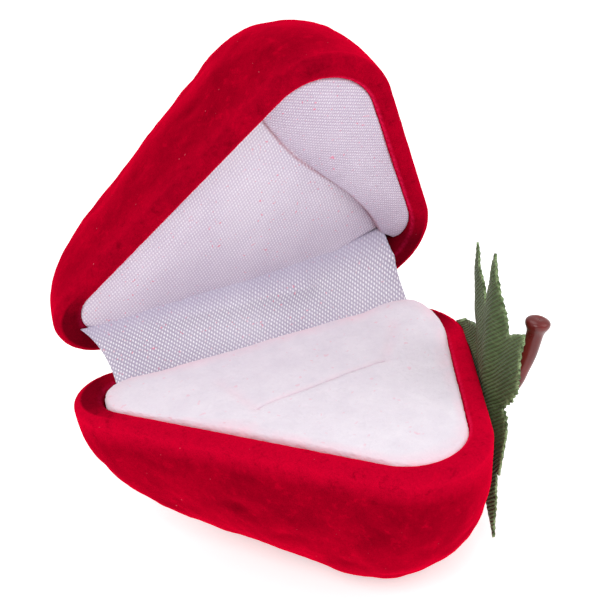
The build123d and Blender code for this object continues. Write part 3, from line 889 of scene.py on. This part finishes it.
# its top edge on the lid's lining, with the lid closed, and the line where it goes down behind the
# cushion, TUCK mm deep
BEND = np.array([[14.3, -5.4, 0.9], [23, -5.6, 1.8], [39.8, -5.7, 3.3], [57.2, -6.2, 4.9],
                 [64.6, -8.8, 4.6]])
FOOT = np.array([[17.4, -5.0], [24, -4.5], [40, -4.5], [56, -4.5], [65.4, -5.0]])
TUCK = 4.2
TUCK_SHARE = 0.25
CLOTH = 0.3
columns, rows_up = 120, 36
xs = np.linspace(0, 1, columns)
bend = np.column_stack([np.interp(xs, np.linspace(0, 1, len(BEND)), v) for v in BEND.T])
foot = np.column_stack([np.interp(xs, np.linspace(0, 1, len(FOOT)), v) for v in FOOT.T])
bend_up = opened(bend + APEX) - APEX
strip_points = []
for r in range(rows_up):
    t = r / (rows_up - 1)
    if t < TUCK_SHARE:
        p = np.column_stack([foot, np.full(columns, -TUCK + TUCK * t / TUCK_SHARE)])
    else:
        w = (t - TUCK_SHARE) / (1 - TUCK_SHARE)
        low = np.column_stack([foot, np.zeros(columns)])
        p = low + (bend_up - low) * w
        p[:, 0] = low[:, 0] + (bend_up[:, 0] - low[:, 0]) * w**2.4
        sag = math.sin(math.pi * w) ** 1.3 * (1.0 - 0.45 * w)
        p[:, 1] += 0.75 * sag
        p[:, 2] -= 0.35 * sag
    strip_points.append(p)
strip_points = np.concatenate(strip_points)


def obstacle(piece):
    """Ray-casting tree of a piece's faces, in mm."""
    place = piece.matrix_world
    corners = [list(place @ v.co / MM) for v in piece.data.vertices]
    return BVHTree.FromPolygons(corners, [tuple(f.vertices) for f in piece.data.polygons])


# pushed forward, above its low rows, where the hinge or the lid's rim is less than CLEAR mm behind
# it; the rays come from AHEAD mm in front of it
forward = Vector(unit(np.array([0, -math.sin(OPENING / 2 + 0.6), math.cos(OPENING / 2 + 0.6)])))
in_the_way = [obstacle(frame["nodes"][node]) for node in HINGE_PARTS]
in_the_way.append(obstacle(bpy.data.objects["lid_velvet_pile"]))
AHEAD = 5.0
CLEAR = 0.6
LOW_ROWS = 10
push = np.zeros(len(strip_points))
for i, p in enumerate(strip_points + APEX):
    if i < columns * LOW_ROWS:
        continue
    for tree in in_the_way:
        hit = tree.ray_cast(Vector(p) + forward * AHEAD, -forward, AHEAD + CLEAR)
        if hit[0] is not None:
            push[i] = max(push[i], AHEAD + CLEAR - hit[3])
# spread over its neighbours, and never less than what clears
push = push.reshape(rows_up, columns)
eased = push.copy()
for _ in range(30):
    wide = np.pad(eased, 1, mode="edge")
    beside = wide[:-2, 1:-1] + wide[2:, 1:-1] + wide[1:-1, :-2] + wide[1:-1, 2:]
    eased = np.maximum(push, beside / 4)
eased *= clamped((np.arange(rows_up) - 5) / 5)[:, None]
strip_points += eased.reshape(-1, 1) * np.array(forward)
strip_uv = np.column_stack([strip_points[:, 0], np.repeat(np.linspace(0, 15, rows_up), columns)])
strip_points[:, 1] += ripple(strip_points, 6.0, 51, 2) * 0.18
corners = [r * columns + c for r in range(rows_up - 1) for c in range(columns - 1)]
strip_faces = [(i, i + 1, i + columns + 1, i + columns) for i in corners]
points, faces, uv = thicken(strip_points + APEX, strip_faces, CLOTH, strip_uv)
# painted shade: greyer along its top band, where the cloth bends away from the light
bend_shade = np.repeat(clamped((np.arange(rows_up) / (rows_up - 1) - 0.74) / 0.2), columns)
bend_shade = np.concatenate([bend_shade, bend_shade])
strip = make_mesh("hinge_strip_cloth", points, faces, uv=uv, fields={"bend_shade": bend_shade})
dress(strip, SATIN_STRIP, None, "satin", "satin_strip")
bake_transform(strip)


# ------------------------------------------------ calyx

towards_hinge = np.array([math.sin(TURN), math.cos(TURN), 0])
outward = np.array([math.cos(TURN), -math.sin(TURN), 0])
upward = np.array([0, 0, 1.0])
calyx_centre = APEX + END * outward + CALYX_SIDE * towards_hinge - CALYX_DROP * upward

# each lobe: direction in degrees from up towards the hinge, length, widest half width, lean from
# the wall at its root and at its tip, sideways curve of its tip, twist about its own length, and
# how blunt its end is. The last one lies round the corner of the hinge side.
LOBES = [
    (31, 22.8, 3.4, 2, 2, 0.0, -8, 3.0),
    (3, 22.3, 3.3, 4, 4, 0.6, -12, 3.4),
    (-20, 15.5, 3.5, 14, 16, -0.8, -4, 6.0),
    (-122, 11.2, 3.8, 4, 5, 0.0, 8, 7.0),
    (-146, 19.0, 2.6, 0, 0, 0.0, 14, 2.6),
    (165, 14.0, 2.6, 3, 5, 0.0, 0, 2.2),
    (80, 18.5, 4.2, 0, 0, 0.0, 0, 6.0),
]
TOOTH_PITCH = 0.42
DISC_RADIUS, DISC_POINTS = 4.3, 48
HOLE_RADIUS = 1.02
LEAF_LIFT = 0.45
LEAF_CLEAR = 0.4
rng = random.Random(3)
# the flat pattern, as closed rings that are filled with triangles
pattern, pattern_faces = [], []
for turn, length, half_width, _, _, bow, _, blunt in LOBES:
    ahead = np.array([math.sin(math.radians(turn)), math.cos(math.radians(turn))])
    across = np.array([ahead[1], -ahead[0]])
    steps = int(length / TOOTH_PITCH)
    sides = {1: [], -1: []}
    for side in (1, -1):
        for k in range(steps):
            s = k / (steps - 1)
            belly = 0.72 + 0.55 * math.sin(math.pi * min(s * 1.15, 1))
            w = half_width * (1 - s**blunt) ** 0.9 * belly
            tooth = (0.22 if k % 2 else -0.16) * rng.uniform(0.3, 1.6) * (k > 3)
            w = max(w + tooth * (1 - 0.5 * s), 0.12)
            reach = length * s + rng.uniform(-0.08, 0.08)
            sides[side].append(ahead * reach + across * (side * w + bow * s**2))
    ring = sides[1] + sides[-1][::-1]
    pattern_faces.append(list(range(len(pattern), len(pattern) + len(ring))))
    pattern += ring
pattern_faces.append(list(range(len(pattern), len(pattern) + DISC_POINTS)))
pattern += [np.array([DISC_RADIUS * math.sin(a), DISC_RADIUS * math.cos(a)])
            for a in np.linspace(0, 2 * math.pi, DISC_POINTS, endpoint=False)]
grid = [np.array([0.6 * i + 0.3 * (j % 2), 0.52 * j])
        for i in range(-46, 47) for j in range(-50, 51)]
grid = [g for g in grid if np.linalg.norm(g) < 27]
corners = [Vector(p) for p in pattern + grid]
made = geometry.delaunay_2d_cdt(corners, [], pattern_faces, 0, 1e-5, False)
flat = np.array([list(v) for v in made[0]])


def within(p, ring):
    """Which of the points are inside a closed ring."""
    a, b = np.array(ring), np.roll(np.array(ring), -1, 0)
    odd = np.zeros(len(p), bool)
    for (x0, y0), (x1, y1) in zip(a, b):
        crosses = (y0 > p[:, 1]) != (y1 > p[:, 1])
        odd ^= crosses & (p[:, 0] < (x1 - x0) * (p[:, 1] - y0) / ((y1 - y0) or 1e-12) + x0)
    return odd


centres = np.array([flat[list(f)].mean(0) for f in made[2]])
kept = np.any([within(centres, [pattern[i] for i in f]) for f in pattern_faces], axis=0)
kept &= np.linalg.norm(centres, axis=1) > HOLE_RADIUS
triangles = [tuple(f) for f, keep in zip(made[2], kept) if keep]
used = sorted({i for f in triangles for i in f})
index = {old: new for new, old in enumerate(used)}
flat = flat[used]
triangles = [tuple(index[i] for i in f) for f in triangles]
# folded out from the flat: each point leans, cups and twists with the lobes near its heading
radius = np.linalg.norm(flat, axis=1)
heading = np.degrees(np.arctan2(flat[:, 0], flat[:, 1]))
weights, leans, cups = [], [], []
for turn, length, _, root_lean, tip_lean, _, twist, _ in LOBES:
    off = (heading - turn + 180) % 360 - 180
    weights.append(np.exp(-(off / 14) ** 2) + 1e-6)
    leans.append(root_lean + (tip_lean - root_lean) * clamped(radius / length) ** 2)
    sideways = np.sin(np.radians(off)) * radius
    twisted = math.tan(math.radians(twist)) * sideways * clamped((radius - 2) / 5)
    cups.append(0.04 * sideways**2 + twisted)
weights = np.array(weights) / np.sum(weights, 0)
lean = np.radians((weights * np.array(leans)).sum(0)) * clamped(radius / 5)
cup = (weights * np.array(cups)).sum(0)
reach = radius * np.cos(lean)
lift = LEAF_LIFT + radius * np.sin(lean) + cup
spin = np.radians(heading)
local = np.column_stack([reach * np.sin(spin), reach * np.cos(spin), lift])
local[:, 2] += ripple(local, 5.0, 61, 2) * 0.25
leaf_points = calyx_centre + local @ np.array([towards_hinge, upward, outward])
# clear of the wall everywhere, with the last lobe lying on it
FROM_OUTSIDE = 20
wall_tree = obstacle(bpy.data.objects["base_velvet_pile"])
lies = weights[-1] * clamped((radius - 6) / 6)
for i, p in enumerate(leaf_points):
    hit = wall_tree.ray_cast(Vector(p + outward * FROM_OUTSIDE), Vector(-outward), 45)
    if hit[0] is not None:
        wanted = FROM_OUTSIDE - hit[3] + LEAF_CLEAR
        leaf_points[i] = p + outward * (lies[i] * wanted + (1 - lies[i]) * max(wanted, 0))
n = normals_of(leaf_points, triangles)
if (n @ outward).sum() < 0:
    triangles = [f[::-1] for f in triangles]
# fray runs from 1 on the cut edge to 0 at 0.45 mm from it
outer_edge = set()
for a, b, c in triangles:
    for edge in ((a, b), (b, c), (c, a)):
        if edge[::-1] in outer_edge:
            outer_edge.discard(edge[::-1])
        else:
            outer_edge.add(edge)
border = flat[sorted({i for edge in outer_edge for i in edge})]
fray = np.array([1 - min(np.linalg.norm(border - p, axis=1).min() / 0.45, 1) for p in flat])
points, faces, uv = thicken(leaf_points, triangles, CLOTH, flat)
fray = np.concatenate([fray, fray])
calyx = make_mesh("calyx_cloth", points, faces, uv=uv, fields={"fray": fray})
dress(calyx, LEAF, "base", "leaf_cloth", "calyx")


# ------------------------------------------------ stem

def stem_path(t):
    """The stem's middle line as (outward, across, up), from its peg at 0 to its top at 1."""
    keys = np.array([[-2.2, 0, 0], [1.2, 0, 0], [3.9, 0, 1.9], [5.9, 0, 5.6], [7.1, 0, 9.4],
                     [7.9, 0, 13.0]])
    knots = np.array([0, 0.16, 0.3, 0.52, 0.76, 1.0])
    out = np.empty((len(t), 3))
    for k in range(3):
        slope = np.gradient(keys[:, k], knots)
        i = np.clip(np.searchsorted(knots, t, side="right") - 1, 0, len(knots) - 2)
        h = knots[i + 1] - knots[i]
        s = (t - knots[i]) / h
        near = (2 * s**3 - 3 * s**2 + 1) * keys[i, k] + (s**3 - 2 * s**2 + s) * h * slope[i]
        far = (-2 * s**3 + 3 * s**2) * keys[i + 1, k] + (s**3 - s**2) * h * slope[i + 1]
        out[:, k] = near + far
    return out


stem_rows, stem_around = 110, 40
t = np.linspace(0, 1, stem_rows)
line = stem_path(t)
tangent = np.gradient(line, axis=0)
tangent /= np.linalg.norm(tangent, axis=1)[:, None]
# its radius: a foot, a slow swell, a knob and a rounded top
thick = 1.12 + 0.10 * np.exp(-((t - 0.15) / 0.08) ** 2) + 0.12 * clamped((t - 0.2) / 0.6)
thick += 0.52 * np.exp(-((t - 0.945) / 0.06) ** 2)
thick *= np.sqrt(clamped(1 - (clamped((t - 0.955) / 0.045)) ** 2.6)) * 0.97 + 0.03
spin = np.linspace(0, 2 * math.pi, stem_around, endpoint=False)
sideways = np.array([0, 1.0, 0])
rings = []
for row in range(stem_rows):
    wobble = 1 + 0.035 * np.sin(2 * spin + 3 * t[row]) + 0.02 * math.sin(21 * t[row])
    circle = np.outer(np.cos(spin) * wobble, sideways)
    circle += np.outer(np.sin(spin) * wobble, np.cross(tangent[row], sideways))
    rings.append(line[row] + thick[row] * circle)
local = np.concatenate(rings + [line[:1], line[-1:] - tangent[-1:] * 0.12])
wall_frame = np.array([outward, towards_hinge, upward])
stem_points = calyx_centre + local @ wall_frame
faces = ring_faces(stem_rows, stem_around)
n = normals_of(stem_points, faces)
middle = calyx_centre + np.repeat(line @ wall_frame, stem_around, 0)
if (n[:-2] * (stem_points[:-2] - middle)).sum() < 0:
    faces = [f[::-1] for f in faces]
stem = make_mesh("stem_stalk", stem_points, faces)
dress(stem, STEM, "base", "stem_plastic", "stem")


# ------------------------------------------------ floor, light and camera

WHITE = (1, 1, 1, 1)


def stage_material():
    """Pale floor that glows a little, so that it comes out as white as the photo's background."""
    m = material("pale_floor")
    t = m.node_tree
    grain = noise_at(t, object_place(t), 40, 2, 0.5)
    base = mix(t, grain, (0.93, 0.93, 0.93, 1), (0.95, 0.95, 0.95, 1))
    surface(t, Base_Color=base, Roughness=0.9, Emission_Color=WHITE, Emission_Strength=0.46)
    return m


# metres; the floor is a hair below the box's foot
FLOOR_REACH = 3.0
FLOOR_HEIGHT = -2e-5
floor_mesh = bpy.data.meshes.new("floor")
floor_mesh.from_pydata([(x * FLOOR_REACH, y * FLOOR_REACH, FLOOR_HEIGHT)
                        for x, y in ((-1, -1), (1, -1), (1, 1), (-1, 1))], [], [(0, 1, 2, 3)])
floor = bpy.data.objects.new("floor", floor_mesh)
bpy.context.scene.collection.objects.link(floor)
floor_mesh.materials.append(stage_material())

world = bpy.data.worlds.new("studio")
bpy.context.scene.world = world
world.use_nodes = True
sky = world.node_tree.nodes["Background"]
sky.inputs["Color"].default_value = WHITE
sky.inputs["Strength"].default_value = 0.62


def softbox(name, place, size, power, target=(0, 0, 0.03)):
    """Round area light, turned to the box."""
    light = bpy.data.lights.new(name, "AREA")
    light.shape = "DISK"
    light.size = size
    light.energy = power
    lamp = bpy.data.objects.new(name, light)
    bpy.context.scene.collection.objects.link(lamp)
    lamp.location = place
    lamp.rotation_mode = "QUATERNION"
    lamp.rotation_quaternion = (Vector(target) - Vector(place)).to_track_quat("-Z", "Y")


softbox("key", (-0.30, -0.42, 0.62), 0.45, 2.6)
softbox("fill", (0.55, -0.25, 0.45), 0.5, 1.0)
softbox("top", (0.05, 0.20, 0.80), 0.6, 1.6)

# the camera's place, fitted to the photo: its direction from the aim, its turn, and what it aims at
azimuth, elevation, roll = math.radians(-19.2), math.radians(26.9), math.radians(-4.7)
CAMERA_DISTANCE = 0.15853
AIM = (51.01, 7.09, 0)
level = math.cos(elevation)
back = Vector((math.sin(azimuth) * level, -math.cos(azimuth) * level, math.sin(elevation)))
right = Vector((math.cos(azimuth), math.sin(azimuth), 0))
up = back.cross(right)
across = right * math.cos(roll) + up * math.sin(roll)
above = up * math.cos(roll) - right * math.sin(roll)
aim = Vector((APEX + AIM) * MM)
lens = bpy.data.cameras.new("camera")
lens.sensor_width = 36
lens.lens = 56.75
lens.clip_start = 0.005
camera = bpy.data.objects.new("camera", lens)
bpy.context.scene.collection.objects.link(camera)
turned = Matrix((across, above, back)).transposed().to_4x4()
camera.matrix_world = Matrix.Translation(aim + back * CAMERA_DISTANCE) @ turned
bpy.context.scene.camera = camera
bpy.context.scene.view_settings.view_transform = "Standard"

bpy.context.view_layer.update()
